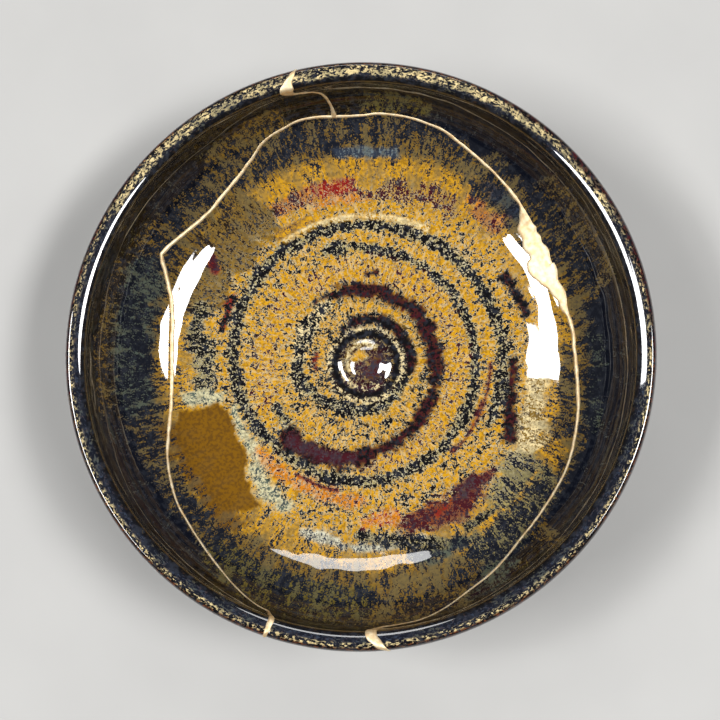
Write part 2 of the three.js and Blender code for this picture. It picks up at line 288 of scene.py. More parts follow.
rear_line = line_of(SHORT_BREAK + REAR_PATCH)
left_line = line_of(LEFT_PATCH)
right_line = line_of(RIGHT_PATCH)


# ---------------------------------------------------------------- meshes

def make_object(name, points, faces):
    """A smooth-shaded object from points in millimetres and lists of point numbers."""
    mesh = bpy.data.meshes.new(name)
    mesh.from_pydata((points * MM).tolist(), [], faces)
    mesh.shade_smooth()
    mesh.update()
    made = bpy.data.objects.new(name, mesh)
    bpy.context.scene.collection.objects.link(made)
    return made


def quads(numbers):
    """Faces between neighbouring rows and columns of a grid of point numbers."""
    corners = [numbers[:-1, :-1], numbers[:-1, 1:], numbers[1:, 1:], numbers[1:, :-1]]
    return np.stack(corners, -1).reshape(-1, 4)


def closer_at_lip(count):
    """Shares from 0 to 1 that crowd towards the middle, where the lip turns over."""
    even = np.linspace(-1.0, 1.0, count)
    return 0.5 + 0.5 * even * (0.5 + 0.5 * np.abs(even))


def rim_shard(name, start, end, columns, rows, edge_rows=6):
    """A stretch of wall and rim. Each column is a closed loop: up the inside from the long break, over
    the lip, down the outside to the break again, and back through the wall. Both ends are closed by a
    ladder of faces between the inside and the outside."""
    share = np.linspace(0.0, 1.0, columns)[:, None]
    level = closer_at_lip(rows)[None, :]
    gap = np.degrees(CRACK_HALF / WALL_RADIUS)
    way = np.zeros((columns, rows))
    for _ in range(8):
        angle = (start(way) + gap) * (1.0 - share) + (end(way) - gap) * share
        edge = break_down(angle) - CRACK_HALF
        way = edge * (1.0 - level) - (LIP_WAY + edge) * level
    skin = surface(angle, way)
    back = np.linspace(0.0, 1.0, edge_rows + 2)[1:-1][None, :, None]
    through = skin[:, -1:] * (1.0 - back) + skin[:, :1] * back
    points = np.concatenate([skin, through], 1)
    loop = points.shape[1]
    numbers = np.arange(columns * loop).reshape(columns, loop)
    faces = quads(np.concatenate([numbers, numbers[:, :1]], 1)).tolist()
    for ring, turned in ((numbers[0].tolist(), -1), (numbers[-1].tolist(), 1)):
        for low in range(loop // 2 - 1):
            high = loop - 1 - low
            faces.append([ring[low], ring[low + 1], ring[high - 1], ring[high]][::turned])
    made = make_object(name, points.reshape(-1, 3), faces)
    angle = np.concatenate([angle, np.repeat(angle[:, -1:], edge_rows, 1)], 1)
    way = np.concatenate([way, np.repeat(way[:, -1:], edge_rows, 1)], 1)
    return made, angle.ravel(), way.ravel()


def foot_profile(rows):
    """Radius and height from where the wall meets the foot, round the foot ring with eased corners, and
    across the recess to the axis. The corners are softened by a short moving average."""
    radius, height, _, _ = bare_surface(-LIP_WAY - FOOT_DOWN)
    corners = np.array([
        (radius, height), (FOOT_OUTER + FOOT_EASE, FOOT_WAIST), (FOOT_OUTER, FOOT_EASE),
        (FOOT_OUTER - FOOT_EASE, 0.0), (FOOT_INNER + FOOT_EASE, 0.0), (FOOT_INNER, FOOT_EASE),
        (FOOT_INNER - FOOT_EASE, RECESS_HEIGHT - 1.0), (FOOT_INNER - 3.0, RECESS_HEIGHT), (0.0, RECESS_HEIGHT),
    ])
    reached = np.concatenate([[0.0], np.cumsum(np.hypot(*np.diff(corners, axis=0).T))])
    dense = np.linspace(0.0, reached[-1], 1200)
    kernel = np.hanning(33)
    kernel /= kernel.sum()
    line = []
    for column in corners.T:
        sharp = np.interp(dense, reached, column)
        line.append(np.convolve(np.pad(sharp, 16, mode="reflect", reflect_type="odd"), kernel, "valid"))
    ring_end = float(np.interp(FOOT_INNER - 4.0, [0.0, FOOT_INNER], [reached[-1], reached[-2] - 3.0]))
    picked = np.concatenate([np.linspace(0.0, ring_end, rows - 8)[:-1], np.linspace(ring_end, reached[-1], 9)])
    return [np.interp(picked, dense, column) for column in line]


def centre_stretch(start, end, turn, columns, at_rim):
    """One run of columns of the centre shard, as points, angles and ways. Each column runs from the axis
    out over the floor to the long break, through the wall or over the lip to the outside, down to the
    foot ring, and across the recess to the axis."""
    deep, floor_rows, wall_rows, edge_rows, under_rows, foot_rows = 56.0, 62, 34, 30, 20, 40
    gap = np.degrees(2.0 * CRACK_HALF / WALL_RADIUS)
    share = np.linspace(0.0, 1.0, columns)[:, None]

    def angle_at(way):
        return (start(way) + gap) * (1.0 - share) + (end(way) + turn - gap) * share

    level = np.linspace(0.0, 1.0, wall_rows)[None, :]
    inside = np.full((columns, wall_rows), deep)
    outside = -LIP_WAY - inside
    for _ in range(8):
        inside = deep * (1.0 - level) + (break_down(angle_at(inside)) + CRACK_HALF) * level
        outside = -LIP_WAY - (break_down(angle_at(outside)) + CRACK_HALF) * (1.0 - level) - deep * level
    floor = np.linspace(FLOOR_CENTRE, deep, floor_rows)[None, :-1].repeat(columns, 0)
    under = np.linspace(-LIP_WAY - deep, -LIP_WAY - FOOT_DOWN, under_rows)[None, 1:].repeat(columns, 0)
    across = closer_at_lip(edge_rows + 2)[None, 1:-1]
    edge = inside[:, -1:] * (1.0 - across) + outside[:, :1] * across
    before = np.concatenate([floor, inside], 1)
    after = np.concatenate([outside, under], 1)
    top = surface(angle_at(before), before)
    bottom = surface(angle_at(after), after)
    if at_rim:
        middle = surface(angle_at(edge), edge)
    else:
        straight = np.linspace(0.0, 1.0, edge_rows + 2)[None, 1:-1, None]
        middle = top[:, -1:] * (1.0 - straight) + bottom[:, :1] * straight
        edge = edge * 0.0 + inside[:, -1:]
    radius, height = foot_profile(foot_rows)
    foot = np.linspace(0.0, 1.0, foot_rows)[None, 1:].repeat(columns, 0) * -FOOT_RADIUS - LIP_WAY - FOOT_DOWN
    ring = around(angle_at(foot), radius[None, 1:], height[None, 1:])
    way = np.concatenate([before, edge, after, foot], 1)
    return np.concatenate([top, middle, bottom, ring], 1), angle_at(way), way


def centre_shard(name):
    """The floor, foot and lower wall, and the stretch of rim between the front patches, with one point
    at the axis above and one below."""
    regular = centre_stretch(right_line, left_line, 0.0, 372, False)
    front = centre_stretch(left_line, right_line, 360.0, 40, True)
    points, angle, way = (np.concatenate(pair, 0) for pair in zip(regular, front))
    count, rows = way.shape
    numbers = np.arange(count * (rows - 2)).reshape(count, rows - 2) + 2
    wrapped = np.concatenate([numbers, numbers[:1]], 0)
    faces = quads(wrapped).tolist()
    first, last = wrapped[:, 0].tolist(), wrapped[:, -1].tolist()
    faces += [[0, here, there] for here, there in zip(first, first[1:])]
    faces += [[1, there, here] for here, there in zip(last, last[1:])]
    poles = [points[:, 0].mean(0), points[:, -1].mean(0)]
    made = make_object(name, np.concatenate([poles, points[:, 1:-1].reshape(-1, 3)]), faces)
    angle, way = (np.concatenate([row[0, [0, -1]], row[:, 1:-1].ravel()]) for row in (angle, way))
    return made, angle, way


# ---------------------------------------------------------------- the gold

def evenly(rows, spacing=0.5):
    """Rows (angle, way, width one side, width the other) spaced evenly along their path."""
    radius = bare_surface(rows[:, 1])[0]
    middle_radius = (radius[1:] + radius[:-1]) / 2.0
    steps = np.hypot(np.radians(np.diff(rows[:, 0])) * middle_radius, np.diff(rows[:, 1]))
    reached = np.concatenate([[0.0], np.cumsum(steps)])
    places = np.linspace(0.0, reached[-1], round(reached[-1] / spacing) + 1)
    return np.stack([np.interp(places, reached, column) for column in rows.T], -1)


def gold_strand(rows, closed):
    """A domed ribbon that follows the surface, with a thin stem down the crack. At each place of the path
    (angle, way, left half width, right half width) the section is laid out sideways over the surface:
    the height is proud * (1 - exp(-distance from the edge / 0.4)), with small slow ripples."""
    angle, way, left, right = rows.T
    radius = bare_surface(way)[0]
    mode = "wrap" if closed else "edge"

    def slope(values, reach=2):
        padded = np.pad(values, reach, mode=mode)
        return padded[2 * reach:] - padded[:-2 * reach]

    along_a = np.radians(slope(angle)) * radius
    along_w = slope(way)
    size = np.hypot(along_a, along_w) + 1e-9
    side_a, side_w = -along_w / size, along_a / size
    place = around(angle, radius, way)
    left = left * (1.0 + 0.10 * waves(place, 5.0, 21))
    right = right * (1.0 + 0.10 * waves(place, 5.0, 22))
    s = np.sin(np.linspace(-math.pi / 2.0, math.pi / 2.0, 11))
    across = np.where(s[None, :] > 0.0, left[:, None], right[:, None]) * s[None, :]
    to_edge = np.where(s[None, :] > 0.0, left[:, None], right[:, None]) - np.abs(across)
    ripple = 1.0 + 0.05 * waves(place, 2.2, 23)[:, None]
    dome = (GOLD_PROUD + GOLD_SUNK) * (1.0 - np.exp(-to_edge / 0.4)) * ripple - GOLD_SUNK
    dome = np.minimum(dome, GOLD_PROUD)
    stem = np.ones((len(rows), 1))
    half = 0.8 * CRACK_HALF
    across = np.concatenate([across, half * stem, half * stem, -half * stem, -half * stem], 1)
    rise = np.concatenate([dome, -0.3 * stem, -GOLD_STEM * stem, -GOLD_STEM * stem, -0.3 * stem], 1)
    turn = np.degrees(across * side_a[:, None] / radius[:, None])
    return surface(angle[:, None] + turn, way[:, None] + across * side_w[:, None], rise)


def strand_faces(count, loop, closed, first):
    """Faces round and along a strand whose points start at number first, with caps on an open one."""
    numbers = np.arange(count * loop).reshape(count, loop) + first
    numbers = np.concatenate([numbers, numbers[:, :1]], 1)[:, ::-1]
    if closed:
        return quads(np.concatenate([numbers, numbers[:1]], 0)).tolist()
    faces = quads(numbers).tolist()
    faces.append(numbers[0, :0:-1].tolist())
    faces.append(numbers[-1, 1:].tolist())
    return faces


def long_strand():
    """The path of the closed strand: round the inside, over the left patch, back along the outside, and
    in over the right patch."""
    inside = np.column_stack([LONG_PATH[:, 0], LONG_PATH[:, 1], LONG_PATH[:, 2] / 2.0, LONG_PATH[:, 2] / 2.0])
    fill_angle, upper, lower = smooth_path(WIDE_FILL).T
    filled = (inside[:, 0] > fill_angle[0]) & (inside[:, 0] < fill_angle[-1])
    inside[filled, 2] = np.interp(inside[filled, 0], fill_angle, lower) - inside[filled, 1]
    inside[filled, 3] = inside[filled, 1] - np.interp(inside[filled, 0], fill_angle, upper)
    outside = np.column_stack([
        LONG_PATH[:, 0], -LIP_WAY - LONG_PATH[:, 1],
        LONG_PATH[:, 2] / 2.0 * OUTER_SHARE, LONG_PATH[:, 2] / 2.0 * OUTER_SHARE,
    ])[::-1]
    left = smooth_path(LEFT_PATCH)[:, [0, 1, 2, 2]] * (1.0, 1.0, 0.5, 0.5)
    right = smooth_path(RIGHT_PATCH)[::-1][:, [0, 1, 2, 2]] * (1.0, 1.0, 0.5, 0.5)
    return evenly(np.vstack([inside, left[1:], outside[1:], right[1:]]))[:-1]


def gold_seam(name):
    """Both strands of gold in one object: the closed one and the short one that ends inside it."""
    short = smooth_path(SHORT_BREAK + REAR_PATCH)[:, [0, 1, 2, 2]] * (1.0, 1.0, 0.5, 0.5)
    points, faces, first = [], [], 0
    for rows, closed in ((long_strand(), True), (evenly(short), False)):
        strand = gold_strand(rows, closed)
        faces += strand_faces(*strand.shape[:2], closed, first)
        points.append(strand.reshape(-1, 3))
        first += len(points[-1])
    return make_object(name, np.concatenate(points), faces)


# ---------------------------------------------------------------- the glaze

# Colours of the glaze where it is thick or thin, as red, green and blue from 0 to 255.
COLOURS = {
    "black": (7, 6, 8), "navy": (17, 20, 30), "slate": (44, 52, 66), "teal": (80, 90, 80),
    "blue": (100, 114, 120), "brown": (34, 22, 12), "rust": (104, 54, 24), "maroon": (62, 16, 24),
    "purple": (62, 52, 60), "red": (132, 22, 12), "brick": (132, 60, 20), "orange": (196, 118, 20),
    "ochre": (124, 96, 36), "olive": (104, 92, 40), "golden": (196, 144, 22), "plain": (116, 79, 8),
    "khaki": (150, 136, 84), "cream": (226, 204, 150), "fringe": (196, 190, 150), "pale": (200, 198, 176),
    "clay": (176, 138, 98),
}

# The glaze at each way: (way, light colour, dark colour, share of light, strength of the pattern). From under the
# lip down to about way 48 the share of light rises and the light colour goes from brown through olive and ochre to
# golden: partly the glaze's own darker run there, partly painted shade under the lip.
GLAZE_BY_WAY = [
    (-120, "clay", "clay", 0.9, 0.15), (-73, "clay", "clay", 0.9, 0.15), (-71.5, "brown", "black", 0.05, 0.3),
    (-60, "brown", "black", 0.25, 1), (-42, "rust", "navy", 0.3, 1), (-24, "brown", "navy", 0.15, 1),
    (-13, "rust", "black", 0.2, 1), (-9.5, "maroon", "black", 0.4, 1), (-7.0, "rust", "black", 0.4, 1),
    (-6.4, "cream", "black", 0.3, 1), (-5.7, "cream", "navy", 0.3, 1), (-5.0, "slate", "navy", 0.45, 1),
    # From way 2 down to about way 48 the dark, dull glaze is partly painted shade under the lip.
    (-3.4, "slate", "navy", 0.35, 1), (-2.4, "brown", "black", 0.1, 1), (2, "brown", "black", 0.02, 0.7),
    (12, "brown", "black", 0.06, 0.8), (18, "olive", "black", 0.16, 1), (24, "ochre", "black", 0.3, 1),
    (30, "ochre", "navy", 0.42, 1), (36, "ochre", "navy", 0.55, 1), (42, "ochre", "navy", 0.7, 1),
    (48, "golden", "navy", 0.84, 1), (56, "golden", "navy", 0.84, 1), (62, "golden", "navy", 0.78, 1),
    (68, "golden", "black", 0.72, 1), (88, "golden", "black", 0.8, 1), (97, "golden", "black", 0.7, 1),
    (103, "golden", "black", 0.7, 1), (108, "golden", "black", 0.55, 1), (112, "ochre", "black", 0.4, 1),
    (123, "ochre", "maroon", 0.5, 0.7),
]

# Strokes laid over that in order: (light, dark, share of light, strength, half width, path of (angle, down)).
STROKES = [
    # The lip and the wall, from the front right round to the front left.
    ("cream", "navy", 0.68, 1.3, 1.1, [(28, -5.2), (60, -5.0), (100, -4.2), (150, -5.0)]),
    ("maroon", "black", 0.55, 1, 1.6, [(0, -7.6), (62, -7.6)]),
    ("maroon", "black", 0.55, 1, 1.2, [(140, -7.8), (190, -7.8)]),
    ("ochre", "navy", 0.55, 1, 14, [(-88, 30), (-70, 30)]),
    ("ochre", "navy", 0.78, 1, 5, [(-88, 39), (-70, 39)]),
    ("teal", "navy", 0.45, 1, 7, [(-60, 22), (-50, 40)]),
    ("ochre", "navy", 0.6, 1, 4, [(-43, 16), (-43, 44)]),
    ("slate", "navy", 0.12, 1, 12, [(-34, 22), (14, 26)]),
    ("teal", "navy", 0.36, 1, 4, [(-15, 34), (5, 35)]),
    ("golden", "navy", 0.72, 1, 6, [(-30, 44), (-24, 50)]),
    ("ochre", "navy", 0.6, 1, 4, [(-18, 46), (1, 47)]),
    ("ochre", "navy", 0.65, 1, 3, [(16, 32), (17, 42)]),
    ("ochre", "navy", 0.42, 1, 11, [(23, 26), (44, 26)]),
    ("slate", "navy", 0.12, 1, 9, [(49, 22), (73, 20)]),
    ("olive", "navy", 0.62, 1, 6, [(78, 19), (89, 19)]),
    ("brown", "black", 0.18, 1, 7, [(94, 18), (109, 18)]),
    ("ochre", "navy", 0.6, 1, 8, [(113, 22), (126, 27)]),
    ("slate", "navy", 0.2, 1, 6, [(133, 20), (143, 20)]),
    ("ochre", "navy", 0.62, 1, 5, [(149, 26), (157, 28)]),
    ("ochre", "navy", 0.5, 1, 5, [(160, 18), (192, 18)]),
    ("teal", "navy", 0.5, 1, 9, [(160, 32), (191, 34)]),
    ("slate", "navy", 0.14, 1, 9, [(198, 22), (228, 22)]),
    ("ochre", "navy", 0.42, 1, 6, [(198, 37), (230, 37)]),
    ("olive", "navy", 0.55, 1, 12, [(238, 30), (266, 30)]),
    ("ochre", "navy", 0.74, 1, 4, [(234, 42), (268, 44)]),
    ("plain", "navy", 0.8, 0.8, 4.5, [(200, 46), (232, 46)]),
    # Below the seam, the same way round.
    ("ochre", "navy", 0.5, 1, 6, [(30, 45), (58, 45)]),
    ("slate", "navy", 0.6, 1, 3, [(45, 43), (55, 44)]),
    ("orange", "maroon", 0.6, 1, 3.5, [(47, 51), (60, 52)]),
    ("golden", "navy", 0.9, 1, 11, [(66, 56), (120, 56)]),
    ("ochre", "navy", 0.5, 1, 5, [(88, 35), (115, 37)]),
    ("blue", "slate", 0.55, 1, 2.0, [(82, 43), (97, 43)]),
    ("golden", "maroon", 0.48, 1.2, 4, [(63, 56), (80, 57)]),
    ("golden", "maroon", 0.4, 1.2, 2.0, [(80, 59), (95, 60)]),
    ("orange", "red", 0.4, 1.2, 3.3, [(96, 56), (109, 56)]),
    ("orange", "maroon", 0.6, 1.2, 3, [(110, 56), (133, 56)]),
    ("orange", "maroon", 0.8, 1, 3, [(91, 62), (107, 62)]),
    ("golden", "navy", 0.9, 1, 2.2, [(70, 64), (118, 64)]),
    ("cream", "golden", 0.8, 1, 0.8, [(66, 67.5), (124, 67.5)]),
    ("ochre", "brown", 0.74, 1, 11, [(131, 54), (155, 54)]),
    ("red", "maroon", 0.5, 1, 1.6, [(146, 52), (148, 56)]),
    ("khaki", "black", 0.4, 1, 2.6, [(161, 58), (174, 58)]),
    ("khaki", "black", 0.4, 1, 4, [(174, 62), (191, 63)]),
    ("red", "black", 0.4, 1, 1.4, [(153, 67.5), (167, 67.5)]),
    ("purple", "golden", 0.5, 1, 1.4, [(111, 64.5), (124, 64.5)]),
    ("fringe", "teal", 0.7, 1, 2.6, [(191, 55), (193, 67)]),
    ("fringe", "teal", 0.75, 1, 2.2, [(199, 71), (222, 70)]),
    ("fringe", "teal", 0.7, 1, 3, [(224, 67), (232, 63), (241, 63)]),
    ("golden", "navy", 0.85, 1, 3.6, [(245, 54), (271, 54)]),
    ("pale", "slate", 0.75, 1, 1.8, [(251, 56), (262, 56)]),
    ("pale", "slate", 0.6, 1, 1.6, [(263, 54.5), (289, 54.5)]),
    ("teal", "navy", 0.55, 1, 4, [(287, 48), (298, 48)]),
    ("khaki", "black", 0.32, 1, 2.3, [(270, 59), (285, 54), (294, 50)]),
    ("khaki", "navy", 0.36, 1, 5.5, [(303, 40), (327, 41)]),
    ("khaki", "black", 0.32, 1, 1.8, [(303, 51), (310, 51)]),
    ("khaki", "navy", 0.62, 1, 6, [(317, 53), (329, 54)]),
    ("cream", "ochre", 0.72, 1, 5, [(334, 56), (339, 57)]),
    ("cream", "ochre", 0.65, 1, 3.5, [(343, 58), (358, 59)]),
    ("orange", "red", 0.75, 1, 2.5, [(271, 64.5), (281, 65)]),
    ("maroon", "black", 0.6, 0.7, 2.8, [(333, 63), (340, 67), (350, 69), (360, 69)]),
    ("maroon", "black", 0.4, 1, 1.8, [(18, 61), (32, 62)]),
    # The winding bands of the floor, from the outside in.
    ("khaki", "black", 0.32, 1, 2.1, [
        (-25, 72), (30, 72), (90, 71), (130, 70), (160, 72), (200, 75), (220, 78), (250, 79), (270, 79.5),
        (300, 81), (330, 82), (360, 83), (390, 82), (420, 81), (450, 79), (470, 78)]),
    ("golden", "navy", 0.85, 1, 2.2, [(0, 77.5), (60, 77), (95, 75)]),
    ("golden", "maroon", 0.8, 1, 4.2, [(0, 89), (90, 88), (150, 86), (200, 84)]),
    ("golden", "maroon", 0.78, 1, 3, [(270, 85.5), (300, 87), (360, 90)]),
    ("orange", "maroon", 0.82, 1, 2.8, [(222, 72), (268, 72.5)]),
    ("red", "maroon", 0.45, 1, 0.6, [(238, 74.6), (258, 74.8)]),
    ("brick", "maroon", 0.5, 1, 0.9, [(-45, 77), (0, 77)]),
    ("khaki", "black", 0.32, 1, 1.8, [(205, 86), (226, 86)]),
    ("maroon", "black", 0.55, 1, 3.9, [(224, 83), (240, 85), (260, 87), (270, 89)]),
    ("purple", "maroon", 0.5, 1, 2.2, [(228, 84), (262, 87.5)]),
    ("maroon", "black", 0.6, 1, 2.5, [(270, 90), (280, 91), (300, 93), (320, 95), (340, 96.5), (360, 98)]),
    ("maroon", "black", 0.62, 1, 3.2, [(0, 98), (20, 98), (40, 97), (60, 96.5), (80, 95.5), (95, 95), (110, 94.3)]),
    ("maroon", "black", 0.5, 1, 1.2, [(110, 94.3), (130, 92.5)]),
    ("maroon", "black", 0.5, 1, 1.0, [(84, 89), (90, 89)]),
    ("cream", "black", 0.45, 1.2, 2.6, [(125, 97.5), (165, 97.5), (200, 98)]),
    ("khaki", "black", 0.32, 1, 2.2, [
        (180, 98), (200, 99.5), (220, 102), (240, 104), (270, 106), (290, 106.5), (310, 107), (330, 109),
        (350, 110)]),
    ("red", "maroon", 0.5, 1, 1, [(170, 104), (185, 104)]),
    ("maroon", "black", 0.4, 1, 2.6, [(0, 106.5), (45, 106), (90, 106), (120, 109)]),
    ("golden", "ochre", 0.9, 1, 1, [(270, 102.5), (300, 103.5), (330, 105), (360, 103), (390, 103), (460, 101)]),
    ("cream", "brown", 0.6, 1, 0.7, [(0, 109.5), (90, 109.5), (180, 109.5), (270, 109.5), (360, 109.5)]),
    ("black", "black", 0.12, 1, 0.9, [(0, 111.5), (90, 111.5), (180, 111.5), (270, 111.5), (360, 111.5)]),
    # The button.
    ("golden", "ochre", 0.85, 0.6, 1.8, [(150, 118), (120, 120)]),
    ("maroon", "purple", 0.6, 0.6, 2.2, [(20, 118), (-60, 119)]),
    ("cream", "ochre", 0.7, 0.8, 0.8, [(60, 116), (100, 115), (150, 115.5), (200, 117)]),
    ("cream", "maroon", 0.6, 0.8, 0.8, [(210, 114), (260, 114), (310, 114)]),
]

# Patches with an outline: (light, dark, share of light, strength, softness of the edge, corners).
PATCHES = [
    ("brick", "maroon", 0.45, 1, 1.5, [(282, 60), (300, 54), (312, 57), (320, 61), (315, 66), (305, 65), (285, 66)]),
    ("purple", "maroon", 0.6, 1, 1.2, [(305, 60), (316, 60), (314, 66), (306, 65)]),
    ("red", "maroon", 0.8, 0.8, 1.0, [(296, 60.5), (300, 60.5), (300, 62.5), (296, 62.5)]),
    ("plain", "plain", 0.95, 0.12, 0.45, [
        (195, 51), (198, 48.5), (204, 46.5), (210, 46.8), (217, 48), (223, 46.5), (229, 48), (232, 52), (234, 57),
        (229, 58.5), (227, 61), (222, 62.5), (220, 66), (216, 68.6), (210, 68), (205, 69.6), (199, 69), (195, 66),
        (196, 60)]),
]


def linear(name):
    """A named colour as linear light."""
    value = np.array(COLOURS[name]) / 255.0
    return np.where(value < 0.04045, value / 12.92, ((value + 0.055) / 1.055) ** 2.4)


def recipe(light, dark, share, strength):
    """The eight numbers of a glaze: light colour, share of light, dark colour, strength of the pattern."""
    return np.concatenate([linear(light), [share], linear(dark), [strength]])


def stroke_distance(angle, way, radius, path):
    """Distance in millimetres over the surface from each point to a path of (angle, way)."""
    nearest = np.full(angle.shape, np.inf)
    degree = np.radians(1.0) * radius
    for (a0, w0), (a1, w1) in zip(path, path[1:]):
        middle = (a0 + a1) / 2.0
        x = ((angle - middle + 180.0) % 360.0 - 180.0 + middle - a0) * degree
        y = way - w0
        along_x = (a1 - a0) * degree
        along_y = w1 - w0
        t = np.clip((x * along_x + y * along_y) / (along_x ** 2 + along_y ** 2 + 1e-9), 0.0, 1.0)
        nearest = np.minimum(nearest, np.hypot(x - t * along_x, y - t * along_y))
    return nearest


def inside_outline(angle, way, corners):
    """True where a point is inside an outline of (angle, way): a line across from it crosses an odd
    number of sides."""
    middle = sum(corner[0] for corner in corners) / len(corners)
    angle = (angle - middle + 180.0) % 360.0 - 180.0 + middle
    inside = np.zeros(angle.shape, bool)
    for (a0, w0), (a1, w1) in zip(corners, corners[1:] + corners[:1]):
        crosses = (w0 > way) != (w1 > way)
        at = a0 + (a1 - a0) * (way - w0) / (w1 - w0 + 1e-9)
        inside ^= crosses & (angle < at)
    return inside


def glaze_recipe(angle, way):
    """The glaze at each point: the bands by way, then every stroke and patch laid over them with a
    ragged edge that runs with the drips."""
    radius = np.maximum(bare_surface(way)[0], 0.5)
    stops = np.array([row[0] for row in GLAZE_BY_WAY])
    values = np.array([recipe(*row[1:]) for row in GLAZE_BY_WAY])
    runs = around(angle, radius, way * 0.3)
    ragged = 0.4 * waves(runs, 1.9, 31) + 0.4 * waves(runs, 4.5, 33) + 0.35 * waves(runs, 10.0, 32)
    shifted = way + 1.2 * ragged * smooth(np.abs(way + 5.0), 6.0, 14.0)
    glaze = np.stack([np.interp(shifted, stops, column) for column in values.T], -1)
    for *mixture, half, path in STROKES:
        far = stroke_distance(angle, way, radius, path) + ragged * min(2.2, 0.42 * half)
        edge = min(1.8, 0.4 * half)
        cover = 1.0 - smooth(far, half - edge, half + edge)
        glaze += (recipe(*mixture) - glaze) * cover[..., None]
    for *mixture, edge, corners in PATCHES:
        far = stroke_distance(angle, way, radius, corners + corners[:1])
        far = np.where(inside_outline(angle, way, corners), -far, far) + ragged * edge
        cover = 1.0 - smooth(far, -edge, edge)
        glaze += (recipe(*mixture) - glaze) * cover[..., None]
    return glaze


def paint_shard(made, angle, way):
    """Stores the glaze on a shard's points, with the flow of the drips and the share of streaks."""
    glaze = glaze_recipe(angle, way)
    streaks = 1.0 - smooth(way, 52.0, 66.0)
    bare = smooth(-way, 72.0, 73.5)
    brightness = np.array([0.3, 0.6, 0.1])
    contrast = glaze[:, :3] @ brightness - glaze[:, 4:7] @ brightness
    creamy = (0.12 + 0.73 * smooth(way, 44.0, 66.0)) * smooth(contrast, 0.04, 0.22)
    lip = smooth(way, -11.0, -7.0) * (1.0 - smooth(way, -2.0, 1.0))
    turn = np.radians(angle)
    flow = np.stack([WALL_RADIUS * np.cos(turn), WALL_RADIUS * np.sin(turn), way * 0.45], -1)
    shine = (1.0 - bare) * (1.0 - 0.8 * smooth(way, -0.5, 2.0) * (1.0 - smooth(way, 20.0, 32.0)))
    for name, kind, values in (
        ("shine", "FLOAT", shine), ("light", "FLOAT_COLOR", glaze[:, :4]), ("dark", "FLOAT_COLOR", glaze[:, 4:]),
        ("flow", "FLOAT_VECTOR", flow), ("body", "FLOAT_COLOR", np.stack([streaks, bare, creamy, lip], -1)),
    ):
        layer = made.data.attributes.new(name, kind, "POINT")
        field = {"FLOAT": "value", "FLOAT_COLOR": "color", "FLOAT_VECTOR": "vector"}[kind]
        layer.data.foreach_set(field, np.ascontiguousarray(values, np.float32).ravel())


# ---------------------------------------------------------------- materials

CREAM_EDGE = (0.58, 0.51, 0.33, 1.0)
MOSS = (0.09, 0.095, 0.062, 1.0)
SLATE = (0.026, 0.030, 0.041, 1.0)
DEEP_BROWN = (0.05, 0.022, 0.006, 1.0)


def node(tree, kind, inputs, **settings):
    """A node with its settings, and each input linked to an output or set to a value."""
    made = tree.nodes.new(kind)
    for name, value in settings.items():
        setattr(made, name, value)
    for name, value in inputs.items():
        if isinstance(value, bpy.types.NodeSocket):
            tree.links.new(value, made.inputs[name])
        else:
            made.inputs[name].default_value = value
    return made


def maths(tree, operation, first, second=0.0, third=0.0):
    """The result of a sum on one, two or three values."""
    return node(tree, "ShaderNodeMath", {0: first, 1: second, 2: third}, operation=operation).outputs[0]


def mixture(tree, *parts):
    """The sum of values, each times its share."""
    total = 0.0
    for value, share in parts:
        total = maths(tree, "MULTIPLY_ADD", value, share, total)
    return total


def blend(tree, share, first, second):
    """Two colours mixed by a share of the second."""
    return node(tree, "ShaderNodeMix", {0: share, 6: first, 7: second}, data_type="RGBA").outputs[2]


def step(tree, value, low, high):
    """0 below low, 1 above high and a smooth rise between."""
    inputs = {"Value": value, "From Min": low, "From Max": high}
    return node(tree, "ShaderNodeMapRange", inputs, interpolation_type="SMOOTHSTEP").outputs[0]


def cloud(tree, where, scale, detail=2.0, roughness=0.5, distortion=0.0):
    """Soft random unevenness between 0 and 1, with scale in features for each millimetre."""
    inputs = {
        "Vector": where, "Scale": scale, "Detail": detail, "Roughness": roughness, "Distortion": distortion,
    }
    return node(tree, "ShaderNodeTexNoise", inputs).outputs[0]


def stretched(tree, where, around_by, down_by):
    """The flow of the drips, scaled around the bowl and down it."""
    return node(tree, "ShaderNodeVectorMath", {0: where, 1: (around_by, around_by, down_by)},
                operation="MULTIPLY").outputs[0]


def millimetres(tree):
    """The place on the object in millimetres."""
    place = node(tree, "ShaderNodeTexCoord", {}).outputs["Object"]
    return node(tree, "ShaderNodeVectorMath", {0: place, "Scale": 1000.0}, operation="SCALE").outputs[0]


def new_material(name, **settings):
    """A material, its node tree and its shader with constant settings."""
    material = bpy.data.materials.new(name)
    material.use_nodes = True
    tree = material.node_tree
    shader = tree.nodes["Principled BSDF"]
    for socket, value in settings.items():
        shader.inputs[socket.replace("_", " ")].default_value = value
    return material, tree, shader


